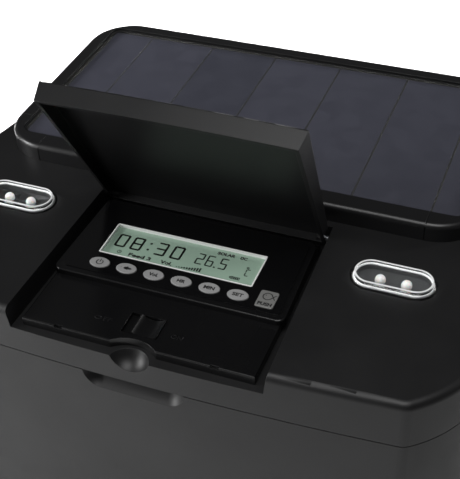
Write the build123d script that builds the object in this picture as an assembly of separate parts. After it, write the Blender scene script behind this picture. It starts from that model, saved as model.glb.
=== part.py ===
from build123d import *
import os
from math import asin, cos, degrees, pi, radians, sin

os.makedirs("parts", exist_ok=True)

# Solar feeder: hopper body, hinged lid with a solar panel, lamps and a display under a flip-up cover.
# Millimetres.  +Z is up and the front faces -Y.  The origin is on the ground, under the middle.

# ---- levels, from the ground up ----
foot_height = 6.0
pan_bottom_z = 5.0
pan_top_z = 24.0
shell_bottom_z = 24.4
rotor_floor_z = 78.0
throat_z = 110.0
funnel_top_z = 175.5
seam_z = 275.0
lid_bottom_z = seam_z + 0.5
deck_z = 300.0

# ---- plan outline, right half, from the front centre round to the rear ----
front_y = -125.0
rear_y = 117.0
front_bow_radius = 1555.0
front_half_width = 116.5
corner_radius = 8.0
corner_end_heading = 36.0
shoulder_radius = 57.0
waist_out_radius = 330.0
waist_in_radius = 181.0
waist_turn = 13.0
rear_corner_radius = 30.0

# ---- wall thicknesses and general fits ----
body_wall = 3.0
lid_wall = 2.8
lid_edge_radius = 3.5
tub_wall = 2.4
moving_gap = 0.3

# ---- lid hinge ----
hinge_y = 121.2
hinge_z = seam_z
knuckle_radius = 3.8
hinge_pin_radius = 1.5
hinge_group_x = 70.0
lid_knuckle_length = 20.0
body_knuckle_length = 10.0
knuckle_space = 0.4

# ---- recess for the controls ----
recess_floor_z = deck_z - 10.5
recess_front_half = 61.3
recess_rear_half = 58.6
recess_rear_y = -23.4
recess_draft = 1.5
thumb_x = -1.0
scoop_radius = 10.2
scoop_y = -127.5
scoop_z = recess_floor_z + 3.0

# ---- lower plate and slide switch ----
plate_top_z = deck_z - 6.0
plate_half_width = 55.0
plate_front_y = -120.5
plate_rear_y = -31.5
plate_thickness = 1.8
plate_arch_radius = 16.5
plate_arch_y = -132.9
notch_x = 37.0
switch_x = -1.3
switch_y = -107.6
switch_window_width = 17.0
switch_window_depth = 12.4
knob_width = 12.0
knob_travel = 4.2
knob_dish_radius = 8.0
knob_dish_depth = 2.2

# ---- display housing ----
housing_top_z = deck_z - 3.0
housing_front_y = -89.0
housing_rear_y = -33.5
housing_front_half = 56.7
housing_rear_half = 54.7
housing_wall = 1.6
overlay_thickness = 0.4
display_x = -2.4
lcd_width = 75.4
lcd_depth = 20.6
lcd_y = -61.6
lcd_top_z = housing_top_z - 1.1
lcd_thickness = 1.8
bezel_wall = 0.6
bezel_top_z = housing_top_z + 0.6

# ---- keys ----
button_y = -79.4
button_pitch = 13.7
button_length = 10.0
button_depth = 6.7
key_x = display_x + 47.5
key_y = -78.0
key_width = 8.4
key_depth = 10.6
key_top_z = housing_top_z + 0.8
key_travel = 0.5
key_flange_lift = 0.6
key_flange_thickness = 0.6
key_stem_radius = 1.6
board_top_z = recess_floor_z + 1.6

# ---- display cover ----
cover_hinge_y = -28.4
cover_hinge_z = deck_z - 3.5
cover_open_angle = 64.0
cover_plate = 1.8
cover_rear_y = -25.5
cover_skirt_front = 10.0
cover_skirt_rear = 5.3
cover_side_gap = 0.7
cover_hinge_gap = 1.1
cover_pin_radius = 1.5
cover_pin_clearance = 0.06

# ---- lamps ----
lamp_x = 95.0
lamp_y = -51.0
lamp_spacing = 12.0
lamp_radius = 2.5
window_length = 39.5
window_width = 19.5
window_height = 2.8
reflector_length = 35.4
reflector_width = 15.4

# ---- solar panel ----
frame_height = 9.5
frame_half_width = 125.5
frame_front_y = -19.7
frame_rear_y = 113.3
frame_corner_radius = 24.5
glass_half_width = 117.2
glass_front_y = -9.4
glass_rear_y = 105.0
glass_thickness = 2.0
glass_drop = 1.2
cell_pitch = 38.5
cell_gap = 1.0
cell_margin = 2.0
cell_shift_x = 4.6
cell_columns = 7
cell_thickness = 0.5

# ---- feed drive ----
rotor_y = -30.0
rotor_radius = 55.5
housing_radius = 60.0
housing_inner_radius = 57.4
rotor_vanes = 6
gear_module = 1.5
gear_teeth = 36
pinion_teeth = 12
gear_z = 62.0
gear_width = 6.0
shaft_radius = 3.0
motor_y = rotor_y + gear_module * (gear_teeth + pinion_teeth) / 2
outlet_half_width = 24.5
chute_wall = 2.5


# ---------------------------------------------------------------- helpers
def plan_face(inset=0.0):
    """Plan outline of the body and lid, moved inward by the inset."""
    front_heading = degrees(asin(front_half_width / front_bow_radius))
    bow = JernArc((0, front_y), (1, 0), front_bow_radius, front_heading)
    corner = JernArc(bow @ 1, bow % 1, corner_radius, corner_end_heading - front_heading)
    shoulder = JernArc(corner @ 1, corner % 1, shoulder_radius, 90 - corner_end_heading)
    waist_out = JernArc(shoulder @ 1, shoulder % 1, waist_out_radius, waist_turn)
    waist_in = JernArc(waist_out @ 1, waist_out % 1, waist_in_radius, -waist_turn)
    side_x = (waist_in @ 1).X
    side = Line(waist_in @ 1, (side_x, rear_y - rear_corner_radius))
    rear_corner = JernArc(side @ 1, (0, 1), rear_corner_radius, 90)
    rear = Line(rear_corner @ 1, (0, rear_y))
    half = Curve() + [bow, corner, shoulder, waist_out, waist_in, side, rear_corner, rear]
    whole = half + mirror(half, Plane.YZ)
    face = make_face(whole)
    if inset:
        face = offset(face, amount=-inset)
    return face


def slab(inset, bottom, top):
    """Prism of the plan outline between two levels."""
    return extrude(Pos(0, 0, bottom) * plan_face(inset), top - bottom)


def ring(outer_inset, inner_inset, bottom, top):
    """Band that follows the plan outline between two levels."""
    return slab(outer_inset, bottom, top) - slab(inner_inset, bottom - 1, top + 1)


def box(x0, x1, y0, y1, z0, z1):
    """Box between two corners."""
    centre = ((x0 + x1) / 2, (y0 + y1) / 2, (z0 + z1) / 2)
    return Pos(*centre) * Box(x1 - x0, y1 - y0, z1 - z0)


def post(x, y, radius, bottom, top):
    """Upright cylinder between two levels."""
    return Pos(x, y, (bottom + top) / 2) * Cylinder(radius, top - bottom)


def rod(x0, x1, y, z, radius):
    """Cylinder along X between two places, given in either order."""
    return Pos((x0 + x1) / 2, y, z) * Rot(0, 90, 0) * Cylinder(radius, abs(x1 - x0))


def trapezoid_block(front_half, rear_half, y0, y1, top, bottom, draft):
    """Block with a trapezoid plan whose sides lean inward by the draft at the bottom."""
    def outline(shrink, z):
        points = [(-front_half + shrink, y0), (front_half - shrink, y0)]
        points += [(rear_half - shrink, y1), (-rear_half + shrink, y1)]
        return Pos(0, 0, z) * make_face(Polyline(*points, close=True))
    return loft([outline(draft, bottom), outline(0, top)])


def rounded_block(x, y, width, depth, bottom, top, radius):
    """Block with a rounded rectangular plan."""
    return extrude(Pos(x, y, bottom) * RectangleRounded(width, depth, radius), top - bottom)


def stadium(x, y, length, width, bottom, top):
    """Block with a stadium plan, long along X."""
    return extrude(Pos(x, y, bottom) * SlotOverall(length, width), top - bottom)


def recess_half_at(y):
    """Half width of the control recess at deck level."""
    share = (y - front_y) / (recess_rear_y - front_y)
    return recess_front_half + share * (recess_rear_half - recess_front_half)


def swing_cover(shape):
    """Turn a piece drawn with the cover shut to the open rest position."""
    hinge = Pos(0, cover_hinge_y, cover_hinge_z)
    back = Pos(0, -cover_hinge_y, -cover_hinge_z)
    return hinge * Rot(-cover_open_angle, 0, 0) * back * shape


def save(name, shape):
    export_step(shape, f"parts/{name}.step")


# ---------------------------------------------------------------- hopper body
boss_spots = [(sx * x, y) for sx in (-1, 1) for x, y in ((137.0, -60.0), (124.0, 75.0))]
foot_spots = [(sx * x, y) for sx in (-1, 1) for x, y in ((110.0, -85.0), (105.0, 85.0))]
chute_rear_y = -61.0
outlet_bottom_z = 34.0
outlet_top_z = 70.0


def hinge_knuckle(x0, x1):
    return rod(x0, x1, hinge_y, hinge_z, knuckle_radius)


def knuckle_spans():
    """X limits of the outer knuckles, which belong to the body."""
    inner = lid_knuckle_length / 2 + knuckle_space
    outer = inner + body_knuckle_length
    spans = []
    for centre in (-hinge_group_x, hinge_group_x):
        for side in (-1, 1):
            spans.append((centre + side * inner, centre + side * outer))
    return spans


def make_hopper_shell():
    shell = slab(0, shell_bottom_z, seam_z) - slab(body_wall, shell_bottom_z - 1, seam_z + 1)
    shell += ring(body_wall - 0.5, 6.0, 169.9, 172.9)
    shell += ring(body_wall - 0.5, 5.8, 264.4, 267.4)
    inside = slab(0.5, shell_bottom_z, seam_z)
    for x, y in boss_spots:
        shell += post(x, y, 5.0, shell_bottom_z, 60.0) & inside
        shell -= post(x, y, 1.4, shell_bottom_z - 1, 56.0)
    half = outlet_half_width + chute_wall + 0.4
    shell -= box(-half, half, -130, -118, outlet_bottom_z - 2.9, outlet_top_z + 1.2)
    for span in knuckle_spans():
        low, high = sorted(span)
        web = box(low, high, rear_y - 1, hinge_y, 262.0, hinge_z)
        web -= box(low - 1, high + 1, rear_y + 0.01, hinge_y + 9, 255.0, 264.0)
        shell += web
        shell += hinge_knuckle(low, high)
        shell -= rod(low - 1, high + 1, hinge_y, hinge_z, hinge_pin_radius)
    return cut_finger_recess(shell)


finger_radius = 9.4
finger_half_length = 16.0
finger_y = front_y - 4.0
pocket_wall = 2.2


def finger_capsule(grow):
    """Rod with round ends that lies along the seam, a little in front of the wall."""
    radius = finger_radius + grow
    low = thumb_x - finger_half_length
    high = thumb_x + finger_half_length
    capsule = rod(low, high, finger_y, seam_z, radius)
    for x in (low, high):
        capsule += Pos(x, finger_y, seam_z) * Sphere(radius)
    return capsule


def cut_finger_recess(shell):
    """Long finger recess that opens at the seam, with a pocket wall behind it."""
    shell += finger_capsule(pocket_wall) & slab(0.5, 200, seam_z)
    return shell - finger_capsule(0)


def make_base_pan():
    pan = slab(0, pan_bottom_z, pan_top_z)
    pan = fillet(pan.edges().group_by(Axis.Z)[0], 3.5)
    pan -= slab(body_wall, pan_bottom_z + 3, pan_top_z + 1)
    for x, y in boss_spots:
        pan += post(x, y, 5.0, pan_bottom_z + 2, pan_top_z) & slab(0.5, pan_bottom_z + 1, pan_top_z)
        pan -= post(x, y, 1.7, pan_bottom_z - 1, pan_top_z + 1)
        pan -= post(x, y, 3.8, pan_bottom_z - 1, pan_bottom_z + 4)
    for x, y in foot_spots:
        pan -= post(x, y, 12.0, pan_bottom_z - 1, foot_height)
    return pan


def make_rubber_feet():
    feet = []
    for x, y in foot_spots:
        foot = post(x, y, 12.0, 0, foot_height)
        foot = fillet(foot.edges().group_by(Axis.Z)[0], 1.5)
        feet.append(foot)
    return Compound(feet)


def make_base_screws():
    screws = []
    for x, y in boss_spots:
        head = post(x, y, 3.5, pan_bottom_z + 1.6, pan_bottom_z + 4)
        screws.append(head + post(x, y, 1.4, pan_bottom_z + 3, 48.0))
    return Compound(screws)


# ---------------------------------------------------------------- hopper and feed path
throat_half = 30.0
throat_y0 = -22.0
throat_y1 = 14.0


def make_hopper_funnel():
    def slope(grow):
        low = Pos(0, (throat_y0 + throat_y1) / 2, throat_z) * Rectangle(
            2 * (throat_half + grow), throat_y1 - throat_y0 + 2 * grow)
        high = Pos(0, -5.5, funnel_top_z) * Rectangle(2 * (118.0 + grow), 213.0 + 2 * grow)
        return loft([low, high])
    funnel = slope(2.5) + post(0, rotor_y, housing_radius, throat_z, throat_z + 3)
    funnel += slab(3.4, funnel_top_z - 2.5, funnel_top_z)
    funnel -= slope(0)
    for x, y in housing_lugs():
        funnel += post(x, y, 5.0, throat_z, throat_z + 3)
        funnel -= post(x, y, 1.6, throat_z - 1, throat_z + 4)
    return funnel


def housing_lugs():
    reach = housing_radius + 4.0
    return [(reach * cos(radians(a)), rotor_y + reach * sin(radians(a))) for a in (0, 180, 240, 300)]


def make_rotor_housing():
    cup = post(0, rotor_y, housing_radius, rotor_floor_z, throat_z)
    for x, y in housing_lugs():
        cup += post(x, y, 5.0, throat_z - 12, throat_z)
    cup -= post(0, rotor_y, housing_inner_radius, rotor_floor_z + 3, throat_z + 1)
    for x, y in housing_lugs():
        cup -= post(x, y, 1.3, throat_z - 11, throat_z + 1)
    drop = box(-22, 22, -85, -63, rotor_floor_z - 1, rotor_floor_z + 4)
    cup -= drop & post(0, rotor_y, rotor_radius, rotor_floor_z - 2, rotor_floor_z + 5)
    cup -= post(0, rotor_y, 6.0, rotor_floor_z - 1, rotor_floor_z + 4)
    return cup


def make_housing_screws():
    screws = []
    for x, y in housing_lugs():
        head = post(x, y, 3.0, throat_z + 3, throat_z + 5.2)
        screws.append(head + post(x, y, 1.3, throat_z - 10, throat_z + 3.1))
    return Compound(screws)


def make_feed_chute():
    def duct(points, half):
        side = make_face(Polyline(*points, close=True))
        return extrude(Plane.YZ.offset(-half) * side, 2 * half)
    lip_y = front_y + 0.8
    top = rotor_floor_z
    outer = [(chute_rear_y, top), (chute_rear_y, top - 8), (lip_y, outlet_bottom_z - 2.5)]
    outer += [(lip_y, outlet_top_z), (-87, top)]
    inner = [(-63, top + 1), (-63, top - 6.6), (lip_y - 1, outlet_bottom_z)]
    inner += [(lip_y - 1, outlet_top_z - 2.5), (-85, top - 2.5), (-85, top + 1)]
    return duct(outer, outlet_half_width + chute_wall) - duct(inner, outlet_half_width)


def make_feed_rotor():
    low = rotor_floor_z + 4
    high = throat_z - 2
    rotor = post(0, rotor_y, 10.0, low, high)
    for number in range(rotor_vanes):
        vane = box(8, rotor_radius, -1.25, 1.25, low, high)
        rotor += Pos(0, rotor_y, 0) * Rot(0, 0, number * 360 / rotor_vanes) * vane
    rotor += post(0, rotor_y, rotor_radius, high - 1.5, high) & cone_cap(low, high)
    rotor -= post(0, rotor_y, shaft_radius, low - 1, high - 4)
    return rotor


def cone_cap(low, high):
    """Ring just under the top of the hub that ties the vanes together."""
    return post(0, rotor_y, 18.0, low, high)


def make_rotor_shaft():
    return post(0, rotor_y, shaft_radius, gear_z - 2, throat_z - 6)


def make_rotor_bush():
    bush = post(0, rotor_y, 6.0, rotor_floor_z, rotor_floor_z + 3.6)
    bush += post(0, rotor_y, 9.0, rotor_floor_z - 3, rotor_floor_z)
    return bush - post(0, rotor_y, shaft_radius + 0.05, rotor_floor_z - 4, rotor_floor_z + 5)


# ---------------------------------------------------------------- gears and motor
def spur_gear(teeth, phase, bore):
    """Gear with straight-sided teeth; the phase turns its first tooth away from +X, in degrees."""
    pitch = gear_module * teeth / 2
    root = pitch - 1.15 * gear_module
    tip = pitch + 0.85 * gear_module
    root_half = 0.95 * gear_module / root
    tip_half = 0.34 * gear_module / tip
    points = []
    for number in range(teeth):
        middle = radians(phase) + number * 2 * pi / teeth
        for radius, angle in ((root, -root_half), (tip, -tip_half), (tip, tip_half), (root, root_half)):
            points.append((radius * cos(middle + angle), radius * sin(middle + angle)))
    gear = extrude(make_face(Polyline(*points, close=True)), gear_width)
    return gear - Cylinder(bore, 4 * gear_width)


def make_rotor_gear():
    gear = spur_gear(gear_teeth, 90.0, shaft_radius)
    for number in range(6):
        gear -= Rot(0, 0, 30 + number * 60) * Pos(15, 0, 0) * Cylinder(4.5, 4 * gear_width)
    return Pos(0, rotor_y, gear_z) * gear


def make_motor_pinion():
    half_pitch = 180.0 / pinion_teeth
    return Pos(0, motor_y, gear_z) * spur_gear(pinion_teeth, 270.0 + half_pitch, shaft_radius)


def make_motor_shaft():
    return post(0, motor_y, shaft_radius, 56.4, gear_z + gear_width + 2)


def make_gearbox():
    case = post(0, motor_y, 18.0, 34.0, 54.0)
    case = chamfer(case.edges().group_by(Axis.Z)[0], 1.0)
    case += post(0, motor_y, 6.0, 54.0, 56.0)
    return case


def make_drive_motor():
    can = post(0, motor_y, 14.0, 12.0, 34.0)
    can = fillet(can.edges().group_by(Axis.Z)[0], 2.0)
    return can + post(0, motor_y, 5.0, 10.0, 12.1)


bracket_screw_spots = [(-33.0, 2.0), (33.0, 2.0)]


def make_motor_bracket():
    plate = box(-37, 37, -8, 26, 54.0, 57.0)
    for side in (-1, 1):
        low, high = sorted((side * 29.5, side * 37))
        plate += box(low, high, -6, 10, 56, rotor_floor_z)
    plate -= post(0, motor_y, 6.0, 53, 58)
    for x, y in bracket_screw_spots:
        plate -= post(x, y, 1.6, 53, rotor_floor_z + 1)
    return plate


def make_bracket_screws():
    screws = []
    for x, y in bracket_screw_spots:
        screws.append(post(x, y, 3.0, 51.8, 54.0) + post(x, y, 1.5, 53.9, rotor_floor_z))
    return Compound(screws)


def make_lid_hinge_pins():
    reach = lid_knuckle_length / 2 + knuckle_space + body_knuckle_length
    pins = []
    for x in (-hinge_group_x, hinge_group_x):
        pins.append(rod(x - reach, x + reach, hinge_y, hinge_z, hinge_pin_radius))
    return Compound(pins)


# ---------------------------------------------------------------- lid mouldings
liner_screw_spots = [(sx * x, y) for sx in (-1, 1) for x, y in ((122.0, -88.0), (120.0, 20.0), (110.0, 92.0))]


def recess_space():
    """Control recess, open at the front and at the top."""
    front_half = recess_half_at(-135.0)
    return trapezoid_block(front_half, recess_rear_half, -135.0, recess_rear_y,
                           deck_z + 0.5, recess_floor_z, recess_draft)


def recess_tub():
    """Walls and floor around the control recess, under the deck."""
    front_half = recess_half_at(-135.0) + tub_wall
    rear_half = recess_rear_half + tub_wall
    top = deck_z - lid_wall + 0.4
    tub = trapezoid_block(front_half, rear_half, -135.0, recess_rear_y + tub_wall,
                          top, recess_floor_z - tub_wall, recess_draft)
    return tub & slab(0.6, lid_bottom_z, deck_z)


def make_lid_shell():
    shell = slab(0, lid_bottom_z, deck_z)
    shell = fillet(shell.edges().group_by(Axis.Z)[-1], lid_edge_radius)
    shell -= slab(lid_wall, lid_bottom_z - 1, deck_z - lid_wall)
    shell += recess_tub()
    scoop = Pos(thumb_x, scoop_y, scoop_z)
    shell += (scoop * Sphere(scoop_radius + 2.2)) & slab(0.6, lid_bottom_z, recess_floor_z - 0.5)
    for x, y in liner_screw_spots:
        shell += post(x, y, 4.0, 277.2, deck_z - 1)
        shell -= post(x, y, 1.3, 276.0, deck_z - 4)
    for side in (-1, 1):
        low_x, high_x = sorted((side * (recess_rear_half - 0.5), side * (recess_rear_half + 5.0)))
        shell += box(low_x, high_x, cover_hinge_y - 4, cover_hinge_y + 4, cover_hinge_z - 5, deck_z - 1)
    shell -= recess_space()
    shell -= scoop * Sphere(scoop_radius)
    for side in (-1, 1):
        hole_radius = cover_pin_radius + cover_pin_clearance
        shell -= rod(side * 50, side * 62.4, cover_hinge_y, cover_hinge_z, hole_radius)
        long_hole = reflector_length + 0.6
        shell -= stadium(side * lamp_x, lamp_y, long_hole, reflector_width + 0.6, 290, deck_z + 1)
    for x in (-hinge_group_x, hinge_group_x):
        half = lid_knuckle_length / 2
        web = box(x - half, x + half, rear_y - 1, hinge_y, hinge_z + 1.0, hinge_z + 9)
        web -= Pos(x, hinge_y + 2.5, hinge_z + 11.5) * Rot(0, 90, 0) * Cylinder(7.5, lid_knuckle_length + 2)
        shell += web + hinge_knuckle(x - half, x + half)
        shell -= rod(x - half - 1, x + half + 1, hinge_y, hinge_z, hinge_pin_radius + 0.06)
    return shell


battery_door_width = 84.0
battery_door_depth = 46.0
battery_y = 45.0


def finger_pocket_space():
    """Room that the tongue and seal leave for the pocket of the finger recess."""
    half = finger_half_length + finger_radius + pocket_wall + 1
    return box(thumb_x - half, thumb_x + half, front_y - 5, front_y + 12, 262.0, lid_bottom_z + 0.1)


def make_lid_liner():
    liner = slab(3.2, lid_bottom_z + 0.1, 277.2)
    liner += ring(3.6, 5.6, 270.0, lid_bottom_z + 0.2) - finger_pocket_space()
    liner -= rounded_block(0, battery_y, battery_door_width + 0.6, battery_door_depth + 0.6, 274, 279, 4)
    for x, y in liner_screw_spots:
        liner -= post(x, y, 1.7, 274, 279)
    return liner


def make_rain_seal():
    return ring(3.5, 5.5, 267.8, 270.0) - finger_pocket_space()


def make_liner_screws():
    screws = []
    for x, y in liner_screw_spots:
        screws.append(post(x, y, 3.2, 273.6, 275.6) + post(x, y, 1.3, 275.5, 290.0))
    return Compound(screws)


def make_battery_cells():
    cells = []
    for y in (-9.6, 9.6):
        cell = rod(-32.5, 32.5, battery_y + y, 286.9, 9.0)
        cells.append(cell + rod(32.4, 33.8, battery_y + y, 286.9, 3.0))
    return Compound(cells)


def make_battery_holder():
    holder = box(-39.5, 39.5, battery_y - 20.5, battery_y + 20.5, 278.0, deck_z - lid_wall)
    for y in (-9.6, 9.6):
        holder -= rod(-35.5, 35.5, battery_y + y, 286.9, 9.2)
        holder -= box(-35.5, 35.5, battery_y + y - 9.2, battery_y + y + 9.2, 270, 286.9)
    return holder


def make_battery_contacts():
    contacts = []
    for y in (-9.6, 9.6):
        contacts.append(box(-35.4, -32.6, battery_y + y - 4, battery_y + y + 4, 282.9, 290.9))
        contacts.append(box(33.9, 35.4, battery_y + y - 4, battery_y + y + 4, 282.9, 290.9))
    return Compound(contacts)


def make_battery_door():
    door = rounded_block(0, battery_y, battery_door_width, battery_door_depth, lid_bottom_z + 0.1, 277.2, 3.7)
    return door - box(-8, 8, battery_y - 22, battery_y - 18, 274, 276.4)


# ---------------------------------------------------------------- controls
button_names = ["power_button", "feed_button", "volume_button", "hour_button", "minute_button", "set_button"]


def button_x(number):
    return display_x + (number - 2.5) * button_pitch


def make_control_plate():
    half = plate_half_width
    plate = box(-half, half, plate_front_y, plate_rear_y, recess_floor_z, plate_top_z)
    plate = fillet(plate.edges().group_by(Axis.Z)[-1], 0.6)
    wall = 1.8
    plate -= box(-half + wall, half - wall, plate_front_y + wall, plate_rear_y - wall,
                 recess_floor_z - 1, plate_top_z - plate_thickness)
    arch = post(thumb_x, plate_arch_y, plate_arch_radius + wall, recess_floor_z, plate_top_z - 0.5)
    plate += arch & box(-25, 25, plate_front_y + 0.5, -100, recess_floor_z, plate_top_z - 0.5)
    plate -= post(thumb_x, plate_arch_y, plate_arch_radius, recess_floor_z - 1, deck_z)
    window = Box(switch_window_width, switch_window_depth, 2 * (deck_z - 291))
    plate -= Pos(switch_x, switch_y, deck_z) * window
    plate -= box(-50, 50, housing_front_y + 3, housing_rear_y - 3, recess_floor_z + 1, deck_z)
    for x in (-notch_x, notch_x):
        plate -= box(x - 2, x + 2, plate_front_y - 1, plate_front_y + 1, plate_top_z - 1.2, deck_z)
    return plate


def make_switch_body():
    top = recess_floor_z + 2.4
    return box(switch_x - 10.5, switch_x + 10.5, switch_y - 6.5, switch_y + 7.5, recess_floor_z, top)


def make_switch_knob():
    """Sliding knob with a dished top for a fingertip, drawn at the right end of its travel."""
    right = switch_x + switch_window_width / 2 - moving_gap
    front = switch_y - switch_window_depth / 2 + moving_gap
    rear = switch_y + switch_window_depth / 2 - moving_gap
    top = plate_top_z + 0.6
    knob = box(right - knob_width, right, front, rear, recess_floor_z + 2.5, top)
    dish = Cylinder(knob_dish_radius, 2 * switch_window_depth)
    dish_z = top + knob_dish_radius - knob_dish_depth
    return knob - Pos(right - knob_width / 2, switch_y, dish_z) * Rot(90, 0, 0) * dish


def housing_block(shrink, bottom, top):
    points = [(-housing_front_half + shrink, housing_front_y + shrink)]
    points += [(housing_front_half - shrink, housing_front_y + shrink)]
    points += [(housing_rear_half - shrink, housing_rear_y - shrink)]
    points += [(-housing_rear_half + shrink, housing_rear_y - shrink)]
    face = make_face(Polyline(*points, close=True))
    face = fillet(face.vertices(), 4.0 - shrink / 2)
    return extrude(Pos(0, 0, bottom) * face, top - bottom)


def key_holes(gap, bottom, top):
    holes = []
    for number in range(len(button_names)):
        oval = Ellipse(button_length / 2 + gap, button_depth / 2 + gap)
        holes.append(extrude(Pos(button_x(number), button_y, bottom) * oval, top - bottom))
    holes.append(rounded_block(key_x, key_y, key_width + 2 * gap, key_depth + 2 * gap, bottom, top, 1.2))
    return holes


def make_display_housing():
    housing = housing_block(0, plate_top_z, housing_top_z)
    housing = fillet(housing.edges().group_by(Axis.Z)[-1], 0.8)
    housing -= housing_block(housing_wall, plate_top_z - 1, housing_top_z - housing_wall)
    housing -= display_opening(0.1)
    for hole in key_holes(moving_gap, 290, deck_z):
        housing -= hole
    return housing


def make_fascia_overlay():
    overlay = housing_block(3.2, housing_top_z, housing_top_z + overlay_thickness)
    overlay -= display_opening(0.1)
    for hole in key_holes(moving_gap, 290, deck_z):
        overlay -= hole
    return overlay


def display_opening(gap):
    """Block of space that the display and its bezel take, with a gap all round."""
    grow = 2 * (bezel_wall + gap)
    return rounded_block(display_x, lcd_y, lcd_width + grow, lcd_depth + grow, 290, deck_z, 0.7)


def make_lcd_panel():
    wide = lcd_width + bezel_wall
    deep = lcd_depth + bezel_wall
    return rounded_block(display_x, lcd_y, wide, deep, lcd_top_z - lcd_thickness, lcd_top_z, 0.4)


def make_lcd_frame():
    """Bezel whose upright walls stand on the display and reach just above the fascia."""
    outer = display_opening(0) & box(-60, 60, lcd_y - 20, lcd_y + 20, lcd_top_z, bezel_top_z)
    return outer - rounded_block(display_x, lcd_y, lcd_width, lcd_depth, 290, deck_z, 0.3)


def key_stem(x, y):
    """Post between a key's flange and its switch on the board."""
    return post(x, y, key_stem_radius, board_top_z + 0.8 + key_travel, plate_top_z + key_flange_lift + 0.2)


def make_button(number):
    x = button_x(number)
    flange_z = plate_top_z + key_flange_lift
    oval = Pos(x, button_y, flange_z) * Ellipse(button_length / 2, button_depth / 2)
    cap = extrude(oval, key_top_z - flange_z)
    cap = fillet(cap.edges().group_by(Axis.Z)[-1], 0.3)
    flange = Pos(x, button_y, flange_z) * Ellipse(button_length / 2 + 0.7, button_depth / 2 + 0.7)
    cap += extrude(flange, key_flange_thickness)
    return cap + key_stem(x, button_y)


def make_push_key():
    flange_z = plate_top_z + key_flange_lift
    cap = rounded_block(key_x, key_y, key_width, key_depth, flange_z, key_top_z, 1.0)
    cap = fillet(cap.edges().group_by(Axis.Z)[-1], 0.3)
    flange_top = flange_z + key_flange_thickness
    cap += rounded_block(key_x, key_y, key_width + 1.4, key_depth + 1.4, flange_z, flange_top, 1.4)
    return cap + key_stem(key_x, key_y)


def make_control_board():
    board = box(-49, 49, housing_front_y + 4, housing_rear_y - 4, recess_floor_z, board_top_z)
    block_top = lcd_top_z - lcd_thickness
    return board + box(display_x - 36, display_x + 36, lcd_y - 9, lcd_y + 9, board_top_z - 0.1, block_top)


def make_key_switches():
    spots = [(button_x(number), button_y) for number in range(len(button_names))]
    spots.append((key_x, key_y))
    return Compound([box(x - 3, x + 3, y - 3, y + 3, board_top_z, board_top_z + 0.7) for x, y in spots])


# ---------------------------------------------------------------- display cover
def cover_outer(inset, top, bottom):
    front_half = recess_half_at(-135.0) - cover_side_gap - inset
    rear_half = recess_rear_half - cover_hinge_gap - inset
    return trapezoid_block(front_half, rear_half, -135.0, cover_rear_y - inset, top, bottom, recess_draft)


def make_display_cover():
    low = deck_z - cover_skirt_front
    cover = cover_outer(0, deck_z, low) & slab(0.3, low - 1, deck_z + 1)
    cover = fillet(cover.edges().group_by(Axis.Z)[-1], 0.8)
    inside = cover_outer(cover_plate, deck_z - cover_plate, low - 0.01)
    cover -= inside & slab(0.3 + cover_plate, low - 2, deck_z)
    rise = cover_skirt_front - cover_skirt_rear
    wedge = [(front_y + 4, low - 1), (front_y + 4, low + 0.2), (cover_rear_y + 2, low + rise)]
    wedge += [(cover_rear_y + 2, low - 1)]
    cover -= extrude(Plane.YZ.offset(-80) * make_face(Polyline(*wedge, close=True)), 160)
    cover += thumb_lip(low) & slab(0.3 + cover_plate / 2, low, low + 2.4)
    for side in (-1, 1):
        barrel = rod(side * 55.0, side * 56.6, cover_hinge_y, cover_hinge_z - 0.1, 2.9)
        cover += barrel & box(-60, 60, -40, cover_rear_y, deck_z - cover_skirt_rear, deck_z - 0.5)
        cover -= rod(side * 52, side * 62, cover_hinge_y, cover_hinge_z, cover_pin_radius)
    return swing_cover(cover)


def thumb_lip(low):
    """Shallow crescent on the inner side of the front skirt, over the thumb scoop."""
    radius = 14.0
    reach = 1.2
    return post(thumb_x, front_y + 0.3 + cover_plate + reach - radius, radius, low, low + 2.4)


def make_cover_hinge_pins():
    pins = []
    for side in (-1, 1):
        pins.append(rod(side * 55.2, side * 61.6, cover_hinge_y, cover_hinge_z, cover_pin_radius))
    return Compound(pins)


# ---------------------------------------------------------------- lamps
def make_lamp_window(side):
    x = side * lamp_x
    window = stadium(x, lamp_y, window_length, window_width, deck_z, deck_z + window_height)
    window = fillet(window.edges().group_by(Axis.Z)[-1], window_height - 0.7)
    inner_top = deck_z + window_height - 1
    return window - stadium(x, lamp_y, window_length - 4, window_width - 4, deck_z - 1, inner_top)


def make_lamp_reflector(side):
    x = side * lamp_x
    cup = stadium(x, lamp_y, reflector_length, reflector_width, deck_z - 6.5, deck_z)
    cup -= stadium(x, lamp_y, reflector_length - 1.6, reflector_width - 1.6, deck_z - 5.5, deck_z + 1)
    for step in (-0.5, 0.5):
        cup -= post(x + step * lamp_spacing, lamp_y, lamp_radius, deck_z - 8, deck_z)
    return cup


def make_lamps():
    lamps = []
    for side in (-1, 1):
        for step in (-0.5, 0.5):
            x = side * lamp_x + step * lamp_spacing
            lamp = post(x, lamp_y, lamp_radius, deck_z - 6.5, deck_z - 1.5)
            lamps.append(lamp + Pos(x, lamp_y, deck_z - 1.5) * Sphere(lamp_radius))
    return Compound(lamps)


def make_lamp_boards():
    boards = []
    for side in (-1, 1):
        x = side * lamp_x
        boards.append(box(x - 15, x + 15, lamp_y - 6, lamp_y + 6, deck_z - 8.1, deck_z - 6.5))
    return Compound(boards)


# ---------------------------------------------------------------- solar panel
def frame_block(shrink, bottom, top, radius):
    width = 2 * (frame_half_width - shrink)
    depth = frame_rear_y - frame_front_y - 2 * shrink
    return rounded_block(0, (frame_front_y + frame_rear_y) / 2, width, depth, bottom, top, radius)


def glass_block(grow, bottom, top, radius):
    width = 2 * (glass_half_width + grow)
    depth = glass_rear_y - glass_front_y + 2 * grow
    return rounded_block(0, (glass_front_y + glass_rear_y) / 2, width, depth, bottom, top, radius)


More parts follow.
